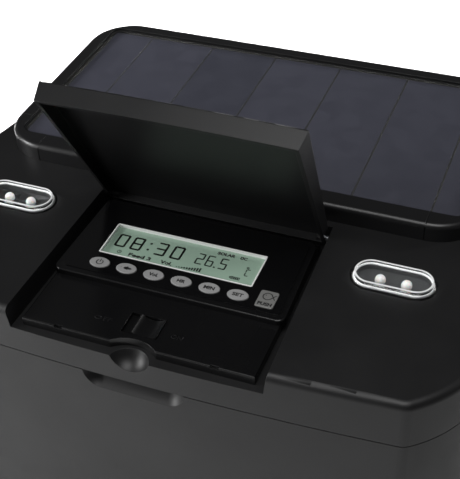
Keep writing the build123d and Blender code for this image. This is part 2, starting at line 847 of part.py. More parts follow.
frame_top_z = deck_z + frame_height
glass_top_z = frame_top_z - glass_drop
cell_top_z = glass_top_z - glass_thickness
backing_z = cell_top_z - cell_thickness - 1.5


def make_solar_frame():
    frame = frame_block(0, deck_z, frame_top_z, frame_corner_radius)
    frame = fillet(frame.edges().group_by(Axis.Z)[-1], 2.6)
    frame -= glass_block(0.2, backing_z, frame_top_z + 1, 6.2)
    frame -= glass_block(-3.5, deck_z - 1, frame_top_z, 4.0)
    core = frame_block(0.4, deck_z - 2, frame_top_z - 0.4, frame_corner_radius - 0.4)
    half_groove = 0.2
    low = deck_z - 1
    high = frame_top_z + 1
    for side in (-1, 1):
        x = side * (frame_half_width - frame_corner_radius)
        for y in (frame_front_y, frame_rear_y):
            frame -= box(x - half_groove, x + half_groove, y - 12, y + 12, low, high) - core
        x = side * frame_half_width
        for y in (frame_front_y + frame_corner_radius, frame_rear_y - frame_corner_radius):
            frame -= box(x - 10, x + 10, y - half_groove, y + half_groove, low, high) - core
    return frame


def make_solar_glass():
    return glass_block(0, cell_top_z, glass_top_z, 6.0)


def make_solar_cells():
    """Seven cell columns; the two outer ones are narrower."""
    cells = []
    y0 = glass_front_y + cell_margin
    y1 = glass_rear_y - cell_margin
    edge = glass_half_width - cell_margin
    for column in range(cell_columns):
        x0 = cell_shift_x + (column - cell_columns / 2) * cell_pitch + cell_gap / 2
        x1 = x0 + cell_pitch - cell_gap
        x0 = max(x0, -edge)
        x1 = min(x1, edge)
        cells.append(box(x0, x1, y0, y1, cell_top_z - cell_thickness, cell_top_z))
    return Compound(cells)


def make_solar_backing():
    return glass_block(0, backing_z, backing_z + 1.5, 6.0)


def make_charge_board():
    return box(-100, -60, 30, 60, deck_z - lid_wall - 3.6, deck_z - lid_wall)


# ---------------------------------------------------------------- write every piece
def write_body():
    save("hopper_shell", make_hopper_shell())
    save("base_pan", make_base_pan())
    save("rubber_feet", make_rubber_feet())
    save("base_screws", make_base_screws())
    save("hopper_funnel", make_hopper_funnel())
    save("rotor_housing", make_rotor_housing())
    save("housing_screws", make_housing_screws())
    save("feed_chute", make_feed_chute())
    save("lid_hinge_pins", make_lid_hinge_pins())


def write_drive():
    save("feed_rotor", make_feed_rotor())
    save("rotor_shaft", make_rotor_shaft())
    save("rotor_gear", make_rotor_gear())
    save("rotor_bush", make_rotor_bush())
    save("motor_pinion", make_motor_pinion())
    save("motor_shaft", make_motor_shaft())
    save("gearbox", make_gearbox())
    save("drive_motor", make_drive_motor())
    save("motor_bracket", make_motor_bracket())
    save("bracket_screws", make_bracket_screws())


def write_lid():
    save("lid_shell", make_lid_shell())
    save("lid_liner", make_lid_liner())
    save("liner_screws", make_liner_screws())
    save("rain_seal", make_rain_seal())
    save("battery_cells", make_battery_cells())
    save("battery_holder", make_battery_holder())
    save("battery_contacts", make_battery_contacts())
    save("battery_door", make_battery_door())
    save("charge_board", make_charge_board())


def write_solar_panel():
    save("solar_frame", make_solar_frame())
    save("solar_glass", make_solar_glass())
    save("solar_cells", make_solar_cells())
    save("solar_backing", make_solar_backing())


def write_controls():
    save("control_plate", make_control_plate())
    save("switch_body", make_switch_body())
    save("switch_knob", make_switch_knob())
    save("display_housing", make_display_housing())
    save("fascia_overlay", make_fascia_overlay())
    save("lcd_panel", make_lcd_panel())
    save("lcd_frame", make_lcd_frame())
    save("control_board", make_control_board())
    save("key_switches", make_key_switches())
    for number, name in enumerate(button_names):
        save(name, make_button(number))
    save("push_key", make_push_key())
    save("display_cover", make_display_cover())
    save("cover_hinge_pins", make_cover_hinge_pins())


def write_lamps():
    for side, label in ((-1, "left"), (1, "right")):
        save(f"lamp_window_{label}", make_lamp_window(side))
        save(f"lamp_reflector_{label}", make_lamp_reflector(side))
    save("lamps", make_lamps())
    save("lamp_boards", make_lamp_boards())


write_body()
write_drive()
write_lid()
write_solar_panel()
write_controls()
write_lamps()
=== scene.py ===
# %% [markdown]
# # A solar feeder for pond fish, dressed for its portrait
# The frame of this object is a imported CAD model: a hopper body, a hinged lid with a solar panel, two lamps,
# a row of keys and a display under a flip-up cover. The shapes are right already, so this lesson is about
# what CAD does not hold: finishes, printing, lenses and light. Each step names the real piece first, then
# says how it could be made in Blender and why one way was chosen.

# %% Load the frame and keep its box
import bmesh
import bpy
import math
from mathutils import Matrix, Vector


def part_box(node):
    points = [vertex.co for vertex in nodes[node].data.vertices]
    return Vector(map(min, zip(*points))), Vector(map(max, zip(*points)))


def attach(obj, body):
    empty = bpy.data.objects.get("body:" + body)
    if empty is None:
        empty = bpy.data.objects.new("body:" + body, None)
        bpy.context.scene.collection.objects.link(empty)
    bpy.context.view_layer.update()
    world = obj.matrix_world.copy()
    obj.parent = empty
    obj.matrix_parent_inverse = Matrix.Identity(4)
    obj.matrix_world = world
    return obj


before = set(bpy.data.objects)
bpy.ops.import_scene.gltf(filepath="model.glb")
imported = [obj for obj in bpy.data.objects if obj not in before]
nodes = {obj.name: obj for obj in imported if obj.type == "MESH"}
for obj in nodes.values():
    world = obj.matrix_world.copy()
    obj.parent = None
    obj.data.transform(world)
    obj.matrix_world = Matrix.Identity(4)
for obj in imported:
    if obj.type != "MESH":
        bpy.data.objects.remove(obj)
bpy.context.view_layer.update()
MM = 0.001

# %% [markdown]
# ## Camera
# The lid shows best from above the front right corner, through a short telephoto lens that keeps its edges
# nearly parallel. A camera could be posed by hand or with a Track To constraint. Here it is
# turned to look at one point of the lid and then rolled a little, so three plain values say where it stands.

# %% Camera above the front right corner
camera_place = Vector((166.7, -398.7, 619.1)) * MM
look_at = Vector((15.8, -47.6, 300.0)) * MM
camera_roll = math.radians(-2.95)
lens_mm = 80.0

camera_data = bpy.data.cameras.new("camera")
camera_data.lens = lens_mm
camera_data.sensor_width = 36.0
camera_data.clip_start = 0.01
camera = bpy.data.objects.new("camera", camera_data)
bpy.context.scene.collection.objects.link(camera)
facing = (look_at - camera_place).to_track_quat("-Z", "Y").to_matrix().to_4x4()
camera.matrix_world = Matrix.Translation(camera_place) @ facing @ Matrix.Rotation(camera_roll, 4, "Z")
bpy.context.scene.camera = camera
bpy.context.scene.view_settings.view_transform = "Standard"
print("camera stands", round((look_at - camera_place).length, 3), "m from the lid")

# %% [markdown]
# ## Floor and light
# Black plastic shows its form by what it reflects, so the studio matters more than the paint. The floor is
# a plain pale sheet. A soft box at the front left and one overhead fill the lid. A small low one lights the
# floor that the front wall mirrors, so the wall glows at the left and fades to the right. Two more have a
# narrow beam and light only the floor behind, far off to each side: the lid's level faces mirror the dark
# space high up behind the object, so nothing bright may stand there.
# An HDRI would do this too, but area lights are easier to reason about: size gives softness, distance gives
# fall-off.

# %% Pale floor
def pale(name, colour, roughness):
    """A plain matt surface for the stage."""
    material = bpy.data.materials.new(name)
    material.use_nodes = True
    shader = material.node_tree.nodes["Principled BSDF"]
    shader.inputs["Base Color"].default_value = (colour, colour, colour, 1)
    shader.inputs["Roughness"].default_value = roughness
    return material


floor_half = 3.0
floor_shape = bmesh.new()
bmesh.ops.create_grid(floor_shape, x_segments=2, y_segments=2, size=floor_half)
floor_mesh = bpy.data.meshes.new("floor")
floor_shape.to_mesh(floor_mesh)
floor_shape.free()
floor_mesh.materials.append(pale("paper_sweep", 0.9, 0.9))
floor = bpy.data.objects.new("floor", floor_mesh)
bpy.context.scene.collection.objects.link(floor)
print("floor:", 2 * floor_half, "m square")

# %% Soft boxes and a faint sky
def soft_box(name, place, target, width, height, power, spread=180):
    """An area light that faces a point: metres, watts, and the angle of its beam in degrees."""
    light = bpy.data.lights.new(name, "AREA")
    light.shape = "RECTANGLE"
    light.size = width
    light.size_y = height
    light.energy = power
    light.spread = math.radians(spread)
    box = bpy.data.objects.new(name, light)
    box.matrix_world = Matrix.Translation(place) @ (
        Vector(target) - Vector(place)).to_track_quat("-Z", "Y").to_matrix().to_4x4()
    bpy.context.scene.collection.objects.link(box)
    return box


soft_box("key_box", (-1.2, -0.6, 0.8), (-0.2, -0.1, 0.15), 0.6, 0.6, 13)
soft_box("overhead_box", (0.1, -0.4, 1.6), (0, 0, 0.3), 0.8, 0.8, 9)
soft_box("glow_box", (-0.65, -0.62, 0.30), (-0.2, -0.42, 0.0), 0.3, 0.3, 0.7, 120)
soft_box("left_floor_box", (-1.5, -0.5, 0.9), (-0.7, 0.9, 0.0), 0.5, 0.5, 26, 70)
soft_box("right_floor_box", (1.7, 1.3, 0.9), (0.0, 1.2, 0.0), 0.6, 0.6, 30, 70)
sky_strength = 0.06
world = bpy.data.worlds.new("studio")
world.use_nodes = True
world.node_tree.nodes["Background"].inputs["Color"].default_value = (1, 1, 1, 1)
world.node_tree.nodes["Background"].inputs["Strength"].default_value = sky_strength
bpy.context.scene.world = world

# %% [markdown]
# ## Tools for finishes
# Every finish below starts from a Principled shader. Colours are written as the sRGB hex values that a
# colour picker shows, and one function turns them into the linear values that light works in. A second
# small function adds a node, sets its values and joins its inputs, which keeps each recipe short.

# %% Colour and node helpers
def linear(hex_colour):
    """An sRGB hex colour as linear RGBA."""
    channels = [int(hex_colour[i:i + 2], 16) / 255 for i in (1, 3, 5)]
    return tuple(c / 12.92 if c <= 0.04045 else ((c + 0.055) / 1.055) ** 2.4 for c in channels) + (1.0,)


def add(tree, kind, settings=None, links=None):
    """One node with its settings and incoming links. A key is an input's name or place, or a property."""
    node = tree.nodes.new(kind)
    for key, value in (settings or {}).items():
        if isinstance(key, int) or key in node.inputs:
            node.inputs[key].default_value = value
        else:
            setattr(node, key, value)
    for key, source in (links or {}).items():
        tree.links.new(source, node.inputs[key])
    return node


def finish(name, colour, roughness, **sockets):
    """A material whose one shader has these values; underscores in a socket's name stand for spaces."""
    material = bpy.data.materials.new(name)
    material.use_nodes = True
    shader = material.node_tree.nodes["Principled BSDF"]
    shader.inputs["Base Color"].default_value = linear(colour)
    shader.inputs["Roughness"].default_value = roughness
    for socket, value in sockets.items():
        shader.inputs[socket.replace("_", " ")].default_value = value
    return material


print("#808080 is linear", round(linear("#808080")[0], 4))

# %% [markdown]
# ## Moulded plastics
# The body, lid and cover are ABS, injection moulded in tools with different surfaces: spark eroded, which
# leaves a fine sandy grain; satin; semi gloss for the cover; and polished. All are the same black resin. A
# flat colour would look like paper, so each gets a grain in its bump, a slow drift in its gloss and colour,
# as cooling leaves behind, and softly rounded edges. Real edges are never knife sharp, and the small radius
# catches a line of light. The edges could be bevelled in the mesh, but a CAD mesh stays as it is, so the
# Bevel node rounds the shading.

# %% One recipe for every moulding
drift_mm = 45.0     # how far apart the slow changes of gloss and colour lie
tint_gain = 2.2     # how much stronger the drift shows in colour than in gloss


def moulded(name, colour, roughness, grain_mm, grain_depth_mm, edge_mm, drift=0.10, **sockets):
    """Injection moulded plastic: grain size and depth, and the radius its edges seem to have."""
    material = finish(name, colour, roughness, **sockets)
    tree = material.node_tree
    shader = tree.nodes["Principled BSDF"]
    place = add(tree, "ShaderNodeTexCoord")
    where = {"Vector": place.outputs["Object"]}
    grain = add(tree, "ShaderNodeTexNoise",
                {"Scale": 1 / (grain_mm * MM), "Detail": 2.0, "Roughness": 0.6}, where)
    slow = add(tree, "ShaderNodeTexNoise",
               {"Scale": 1 / (drift_mm * MM), "Detail": 3.0, "Roughness": 0.55}, where)
    low_gloss, high_gloss = roughness * (1 - drift), roughness * (1 + drift)
    gloss = add(tree, "ShaderNodeMapRange",
                {"From Min": 0.3, "From Max": 0.7, "To Min": low_gloss, "To Max": high_gloss},
                {"Value": slow.outputs["Fac"]})
    deep = linear(colour)
    light = tuple(min(1, c * (1 + tint_gain * drift)) for c in deep[:3]) + (1,)
    tint = add(tree, "ShaderNodeMix", {"data_type": "RGBA", 6: deep, 7: light}, {0: slow.outputs["Fac"]})
    edge = add(tree, "ShaderNodeBevel", {"samples": 4, "Radius": edge_mm * MM})
    bump = add(tree, "ShaderNodeBump", {"Strength": 1.0, "Distance": grain_depth_mm * MM},
               {"Height": grain.outputs["Fac"], "Normal": edge.outputs["Normal"]})
    tree.links.new(gloss.outputs["Result"], shader.inputs["Roughness"])
    tree.links.new(tint.outputs[2], shader.inputs["Base Color"])
    tree.links.new(bump.outputs["Normal"], shader.inputs["Normal"])
    return material


# ABS has an index of refraction near 1.53. The real spark grain is about 0.15 mm, too fine to show here, so
# it is drawn at 0.7 mm with a shallow depth.
abs_ior = 1.53
spark_abs = moulded("abs_spark_eroded_black", "#0f0f10", 0.46, 0.7, 0.03, 0.35, IOR=abs_ior)
satin_abs = moulded("abs_satin_black", "#131314", 0.33, 1.2, 0.006, 0.5, IOR=abs_ior)
cover_abs = moulded("abs_semi_gloss_black", "#101011", 0.40, 1.6, 0.004, 0.5, IOR=abs_ior)
polished_abs = moulded("abs_polished_black", "#0c0c0d", 0.26, 2.4, 0.004, 0.30, IOR=abs_ior)
overlay_film = moulded("polyester_overlay_gloss_black", "#0a0a0b", 0.16, 3.0, 0.002, 0.15, IOR=1.58)
print("mouldings:", [m.name for m in bpy.data.materials if m.name.startswith("abs")])

# %% [markdown]
# ## Plastics, rubber and metal inside
# The hopper funnel, the chute, the rotor's housing and the lid's liner are charcoal polypropylene, a little
# waxy. The rotor, gear and pinion are acetal, harder and off-white. The feet and the rain seal are rubber,
# dark and nearly without gloss. The lamps stand in reflectors of flat grey plastic, a painted dark reflection
# for the dark surroundings their shiny inside mirrors, and the display in a white nylon frame. Screws are
# zinc plated steel, the motor can is rolled steel, the bush is sintered bronze. The same moulding recipe
# serves the plastics, with other values; the metals are plain shaders with fine scratches in the roughness.

# %% Inner plastics and rubber
hopper_pp = moulded("polypropylene_charcoal", "#3a3b3c", 0.42, 0.9, 0.010, 0.4, IOR=1.49)
acetal = moulded("acetal_natural", "#d9d6c8", 0.36, 1.1, 0.006, 0.3, IOR=1.48)
epdm = moulded("epdm_rubber", "#141414", 0.78, 0.5, 0.02, 0.3, IOR=1.52)
knob_abs = moulded("abs_knob_black", "#0e0e0f", 0.30, 0.8, 0.010, 0.25, IOR=abs_ior)
white_nylon = moulded("nylon_white_bezel", "#e9eae8", 0.34, 0.8, 0.004, 0.2, IOR=1.53)
# Painted reflection: flat grey in place of the shiny lamp reflectors, for the dark surroundings they mirror.
painted_reflection_grey = moulded("grey_reflector_painted_reflection", "#3a3b3c", 0.30, 2.0, 0.004, 0.5, IOR=1.58)
print("plastics so far:", len(bpy.data.materials))


# %% Metals with a worn sheen
def metal(name, colour, roughness, scratch_mm, edge_mm=0.2):
    """Metal whose gloss varies in fine streaks of the given spacing."""
    material = finish(name, colour, roughness, Metallic=1.0)
    tree = material.node_tree
    place = add(tree, "ShaderNodeTexCoord")
    stretch = add(tree, "ShaderNodeMapping", {"Scale": (1, 6, 1)}, {"Vector": place.outputs["Object"]})
    streaks = add(tree, "ShaderNodeTexNoise", {"Scale": 1 / (scratch_mm * MM), "Detail": 3.0},
                  {"Vector": stretch.outputs["Vector"]})
    gloss = add(tree, "ShaderNodeMapRange", {"To Min": roughness * 0.7, "To Max": roughness * 1.4},
                {"Value": streaks.outputs["Fac"]})
    edge = add(tree, "ShaderNodeBevel", {"samples": 4, "Radius": edge_mm * MM})
    shader = tree.nodes["Principled BSDF"]
    tree.links.new(gloss.outputs["Result"], shader.inputs["Roughness"])
    tree.links.new(edge.outputs["Normal"], shader.inputs["Normal"])
    return material


zinc_steel = metal("steel_zinc_plated", "#b9bcc0", 0.30, 1.5)
rolled_steel = metal("steel_rolled_can", "#a4a6a8", 0.24, 2.5)
sintered_bronze = metal("bronze_sintered", "#b08a55", 0.42, 0.6)
contact_nickel = metal("nickel_plated_spring", "#c6c4bd", 0.22, 1.0)
print("metals:", [m.name for m in (zinc_steel, rolled_steel, sintered_bronze, contact_nickel)])

# %% [markdown]
# ## Glass, cells, display and lamps
# The solar laminate is low-iron glass with a faint stipple over seven silicon cells. The lamp windows are
# clear acrylic and each lamp is a milky epoxy dome. Clear parts take Transmission on the Principled shader.
# Light from the boxes could not reach what lies behind them in a short render, so clear pieces throw no
# shadow; they still bend and mirror what is seen through them.

# %% Clear parts
stippled_glass = finish("glass_stippled_low_iron", "#eef2f1", 0.20, IOR=1.50, Transmission_Weight=1.0)
clear_acrylic = finish("acrylic_clear_polished", "#fbfcfc", 0.03, IOR=1.49, Transmission_Weight=1.0)
milky_epoxy = finish("epoxy_lamp_milky", "#d8d8d6", 0.22, IOR=1.52, Subsurface_Weight=0.4,
                     Subsurface_Scale=0.002)
glass_tree = stippled_glass.node_tree
glass_place = add(glass_tree, "ShaderNodeTexCoord")
stipple = add(glass_tree, "ShaderNodeTexNoise", {"Scale": 1 / (1.4 * MM), "Detail": 1.0},
              {"Vector": glass_place.outputs["Object"]})
stipple_bump = add(glass_tree, "ShaderNodeBump", {"Strength": 0.25, "Distance": 0.00002},
                   {"Height": stipple.outputs["Fac"]})
glass_tree.links.new(stipple_bump.outputs["Normal"], glass_tree.nodes["Principled BSDF"].inputs["Normal"])
for clear_piece in ("solar_glass", "lamp_window_left", "lamp_window_right"):
    nodes[clear_piece].visible_shadow = False
print("clear:", stippled_glass.name, clear_acrylic.name)

# %% [markdown]
# ## Silicon cells
# A polycrystalline cell is slate blue with faint crystal facets, crossed by hair-fine silver fingers about
# 2 mm apart. Facets come from a Voronoi pattern and fingers from a Wave. The fingers run across the columns.
# Seen from here they are too fine to tell apart, so they only lift the colour a little.

# %% Cell finish
silicon = finish("silicon_polycrystalline", "#363743", 0.38, IOR=1.8)
cell_tree = silicon.node_tree
cell_place = add(cell_tree, "ShaderNodeTexCoord")
facet_size = 9.0
facets = add(cell_tree, "ShaderNodeTexVoronoi", {"Scale": 1 / (facet_size * MM)},
             {"Vector": cell_place.outputs["Object"]})
facet_tint = add(cell_tree, "ShaderNodeMix",
                 {"data_type": "RGBA", 6: linear("#40404c"), 7: linear("#484854")},
                 {0: facets.outputs["Color"]})
finger_pitch = 2.0
wave_unit = 0.314   # a Wave texture of scale 1 repeats every 0.314 units
fingers = add(cell_tree, "ShaderNodeTexWave",
              {"bands_direction": "Y", "Scale": wave_unit / (finger_pitch * MM)},
              {"Vector": cell_place.outputs["Object"]})
finger_mask = add(cell_tree, "ShaderNodeMapRange", {"From Min": 0.9, "To Max": 0.22},
                  {"Value": fingers.outputs["Fac"]})
cell_tint = add(cell_tree, "ShaderNodeMix", {"data_type": "RGBA", 7: linear("#5c5c64")},
                {0: finger_mask.outputs["Result"], 6: facet_tint.outputs[2]})
cell_tree.links.new(cell_tint.outputs[2], cell_tree.nodes["Principled BSDF"].inputs["Base Color"])
backing = moulded("backing_sheet_dark", "#221f1c", 0.6, 0.6, 0.01, 0.1)
print("cell fingers every", finger_pitch, "mm")

# %% [markdown]
# ## Display, boards and batteries
# The display is a reflective liquid crystal cell: a grey green polariser behind glass. The keys are silicone
# rubber with a matt grey coat. Circuit boards are green solder mask over copper, whose tracks show as a
# slightly darker weave. The battery cells wear a heat-shrunk sleeve.

# %% Finishes for the electronics
display_glass = moulded("lcd_polariser_grey_green", "#9cb6a4", 0.30, 1.2, 0.001, 0.1, 0.03, IOR=1.5,
                        Coat_Weight=0.4, Coat_Roughness=0.05)
segment_black = moulded("lcd_segment_black", "#0d0f0d", 0.35, 1.0, 0.001, 0.05)
key_grey = moulded("silicone_key_grey", "#8f8f8f", 0.55, 0.5, 0.010, 0.25, 0.05, IOR=1.42)
key_silver = moulded("painted_key_silver", "#868684", 0.42, 0.6, 0.012, 0.25, 0.06, IOR=1.5, Metallic=0.35)
print_black = moulded("pad_print_black", "#161616", 0.5, 0.6, 0.004, 0.05)
raised_black = moulded("abs_raised_letter", "#161617", 0.30, 0.8, 0.004, 0.12, IOR=abs_ior)
# Painted highlight: near white and not clear, so the lamp rims show as fine lines of light on the window
# edges.
rim_painted_highlight = finish("white_rim_painted_highlight", "#fafbfb", 0.12, IOR=1.49)
sealant = finish("silicone_sealant_black", "#101010", 0.5, IOR=1.43)
battery_sleeve = moulded("pvc_sleeve_green", "#2c6a4b", 0.32, 2.0, 0.004, 0.3, IOR=1.53)
solder_mask = finish("fibreglass_board_green", "#16482f", 0.34, IOR=1.55)
board_tree = solder_mask.node_tree
board_place = add(board_tree, "ShaderNodeTexCoord")
tracks = add(board_tree, "ShaderNodeTexBrick", {"Scale": 1 / (8 * MM), "Color1": linear("#1b5638"),
             "Color2": linear("#16482f"), "Mortar": linear("#0f3421"), "Mortar Size": 0.03},
             {"Vector": board_place.outputs["Object"]})
board_tree.links.new(tracks.outputs["Color"], board_tree.nodes["Principled BSDF"].inputs["Base Color"])
print("electronics finishes:", display_glass.name, key_grey.name, solder_mask.name)

# %% [markdown]
# ## Dress the CAD pieces
# A CAD piece keeps its shape and place; only its material slots change. A table of piece to finish is easier
# to check than forty assignments, and a piece left out of it is named at once.

# %% Piece to finish
dressing = {
    spark_abs: "hopper_shell base_pan lid_shell",
    satin_abs: "solar_frame",
    cover_abs: "display_cover",
    polished_abs: "control_plate display_housing",
    overlay_film: "fascia_overlay",
    knob_abs: "switch_knob switch_body gearbox battery_holder battery_door",
    hopper_pp: "hopper_funnel feed_chute rotor_housing lid_liner",
    acetal: "feed_rotor rotor_gear motor_pinion",
    epdm: "rubber_feet rain_seal",
    zinc_steel: "base_screws housing_screws bracket_screws liner_screws lid_hinge_pins cover_hinge_pins "
                "motor_bracket",
    rolled_steel: "drive_motor rotor_shaft motor_shaft",
    sintered_bronze: "rotor_bush",
    contact_nickel: "battery_contacts key_switches",
    painted_reflection_grey: "lamp_reflector_left lamp_reflector_right",
    stippled_glass: "solar_glass",
    clear_acrylic: "lamp_window_left lamp_window_right",
    milky_epoxy: "lamps",
    silicon: "solar_cells",
    backing: "solar_backing",
    battery_sleeve: "battery_cells",
    solder_mask: "charge_board control_board lamp_boards",
    display_glass: "lcd_panel",
    white_nylon: "lcd_frame",
    key_grey: "power_button feed_button volume_button hour_button minute_button set_button",
    key_silver: "push_key",
}
dressed = set()
for material, names in dressing.items():
    for name in names.split():
        for slot in nodes[name].material_slots:
            slot.material = material
        dressed.add(name)
print("dressed", len(dressed), "pieces; left out:", sorted(set(nodes) - dressed))

# %% [markdown]
# ## Flat shapes that become thin solids
# Printing and display segments are flat shapes a few hundredths of a millimetre thick. Each is drawn with
# bmesh operators: a hexagon with its ends pulled apart is a display segment, a spun edge is an arc, a grid of
# one square is a bar. A last step gives each sheet a small thickness.

# %% Drawing helpers, in millimetres
def bar(sheet, x, y, width, height, z):
    """A rectangle centred on a point."""
    square = bmesh.ops.create_grid(sheet, x_segments=1, y_segments=1, size=0.5)["verts"]
    bmesh.ops.scale(sheet, vec=(width, height, 1), verts=square)
    bmesh.ops.translate(sheet, vec=(x, y, z), verts=square)
    return square


def segment(sheet, x, y, length, stroke, upright, z):
    """A display segment: a hexagon whose two points are pulled apart."""
    radius = stroke / 2 / math.cos(math.pi / 6)
    corners = bmesh.ops.create_circle(sheet, cap_ends=True, segments=6, radius=radius)["verts"]
    stretch = length / 2 - radius
    for corner in corners:
        corner.co.y += math.copysign(stretch, corner.co.y)
    if not upright:
        bmesh.ops.rotate(sheet, verts=corners, cent=(0, 0, 0), matrix=Matrix.Rotation(math.pi / 2, 3, "Z"))
    bmesh.ops.translate(sheet, vec=(x, y, z), verts=corners)


def arc(sheet, x, y, radius, stroke, start, sweep, z, steps=24):
    """A curved band, swept from a short edge; angles in degrees."""
    centre = Vector((x, y, z))
    turn = Matrix.Rotation(math.radians(start), 3, "Z")
    ends = [sheet.verts.new(centre + turn @ Vector((radius + side * stroke / 2, 0, 0))) for side in (-1, 1)]
    edge = sheet.edges.new(ends)
    bmesh.ops.spin(sheet, geom=ends + [edge], cent=centre, axis=(0, 0, 1), angle=math.radians(sweep),
                   steps=steps, use_merge=abs(sweep) >= 360)


def disc(sheet, x, y, width, height, z, sides=20, turn=0.0):
    """An oval, or with three or four sides a triangle or a diamond; the turn is in degrees."""
    rim = bmesh.ops.create_circle(sheet, cap_ends=True, segments=sides, radius=0.5)["verts"]
    bmesh.ops.rotate(sheet, verts=rim, cent=(0, 0, 0), matrix=Matrix.Rotation(math.radians(turn), 3, "Z"))
    bmesh.ops.scale(sheet, vec=(width, height, 1), verts=rim)
    bmesh.ops.translate(sheet, vec=(x, y, z), verts=rim)


def finish_sheet(sheet, name, material, body, thickness=0.03):
    """Thicken every flat face, scale millimetres to metres and hand the piece to a body."""
    flat = sheet.faces[:]
    bmesh.ops.recalc_face_normals(sheet, faces=flat)
    for face in flat:
        if face.normal.z < 0:
            face.normal_flip()
    made = bmesh.ops.extrude_face_region(sheet, geom=flat, use_keep_orig=True)["geom"]
    raised = [v for v in made if isinstance(v, bmesh.types.BMVert)]
    bmesh.ops.translate(sheet, vec=(0, 0, thickness), verts=raised)
    bmesh.ops.recalc_face_normals(sheet, faces=sheet.faces[:])
    bmesh.ops.scale(sheet, vec=(MM, MM, MM), verts=sheet.verts[:])
    mesh = bpy.data.meshes.new(name)
    sheet.to_mesh(mesh)
    sheet.free()
    mesh.materials.append(material)
    piece = bpy.data.objects.new(name, mesh)
    bpy.context.scene.collection.objects.link(piece)
    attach(piece, body)
    return piece


def stroke_line(sheet, x0, y0, x1, y1, width, z):
    """A straight stroke between two points."""
    along = Vector((x1 - x0, y1 - y0, 0))
    corners = bar(sheet, 0, 0, along.length, width, 0)
    angle = math.atan2(along.y, along.x)
    bmesh.ops.rotate(sheet, verts=corners, cent=(0, 0, 0), matrix=Matrix.Rotation(angle, 3, "Z"))
    bmesh.ops.translate(sheet, vec=((x0 + x1) / 2, (y0 + y1) / 2, z), verts=corners)


cap_share = 0.72    # height of a capital in the built-in typeface, as a share of its size


def lettering(sheet, words, x, y, cap_height, z, width=None, weight=0.0):
    """Words in the built-in typeface, centred on a point, squeezed to a width if one is given."""
    curve = bpy.data.curves.new("words", "FONT")
    curve.body = words
    curve.size = cap_height / cap_share
    curve.offset = weight
    curve.resolution_u = 3
    holder = bpy.data.objects.new("words", curve)
    bpy.context.scene.collection.objects.link(holder)
    bpy.context.view_layer.update()
    mesh = bpy.data.meshes.new_from_object(holder.evaluated_get(bpy.context.evaluated_depsgraph_get()))
    low = [min(v.co[i] for v in mesh.vertices) for i in (0, 1)]
    high = [max(v.co[i] for v in mesh.vertices) for i in (0, 1)]
    squeeze = (width or high[0] - low[0]) / (high[0] - low[0])
    middle = Matrix.Translation((-(low[0] + high[0]) / 2, -cap_height / 2, 0))
    mesh.transform(Matrix.Translation((x, y, z)) @ Matrix.Diagonal((squeeze, 1, 1, 1)) @ middle)
    sheet.from_mesh(mesh)
    bpy.data.objects.remove(holder)
    bpy.data.curves.remove(curve)
    bpy.data.meshes.remove(mesh)


print("a capital is", cap_share, "of the type size")

# %% [markdown]
# ## What the display shows
# The time stands large at the left and the water temperature smaller beside it, both in seven segments. Small
# words and icons fill the corners: a clock, the feed count, the portion with its rising bars, a battery and a
# degree sign. On the real cell these are dark pools of liquid crystal just under the glass. They could be a
# painted mask in the material, but thin solids stay sharp at any distance and export as they are.

# %% Seven-segment figures
lit_segments = {"0": "abcdef", "2": "abged", "3": "abgcd", "5": "afgcd", "6": "afgcde", "8": "abcdefg"}


def figure(sheet, digit, x, y, width, height, stroke, z):
    """One seven-segment figure, centred on a point."""
    gap = 0.12 * stroke
    half_w, half_h = (width - stroke) / 2, (height - stroke) / 2
    across, down = 2 * half_w - gap, half_h - gap
    spots = {"a": (0, half_h, 0), "g": (0, 0, 0), "d": (0, -half_h, 0), "b": (half_w, half_h / 2, 1),
             "c": (half_w, -half_h / 2, 1), "f": (-half_w, half_h / 2, 1), "e": (-half_w, -half_h / 2, 1)}
    for name in lit_segments[digit]:
        dx, dy, upright = spots[name]
        segment(sheet, x + dx, y + dy, (down if upright else across) + stroke * 0.55, stroke, upright, z)


lcd_low, lcd_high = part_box("lcd_panel")
lcd_x, lcd_y = [(lcd_low[i] + lcd_high[i]) / 2 / MM for i in (0, 1)]
lcd_x -= 0.7        # the reading sits a little left of the middle of its glass
lcd_top = lcd_high[2] / MM + 0.01
reading = bmesh.new()
big_y, small_y = lcd_y + 1.4, lcd_y + 1.0
big_figure = (5.6, 9.1, 1.05)       # width, height and stroke of the time
small_figure = (3.7, 7.6, 0.68)     # and of the temperature
for digit, dx in zip("0830", (-31.2, -23.3, -10.9, -2.7)):
    figure(reading, digit, lcd_x + dx, big_y, *big_figure, lcd_top)
for dy in (-2.2, 2.2):
    bar(reading, lcd_x - 17.1, big_y + dy, 1.1, 1.1, lcd_top)
for digit, dx in zip("265", (9.0, 14.0, 20.6)):
    figure(reading, digit, lcd_x + dx, small_y, *small_figure, lcd_top)
bar(reading, lcd_x + 17.1, small_y - 3.4, 0.9, 0.9, lcd_top)
print("display figures:", len(reading.faces), "segments")

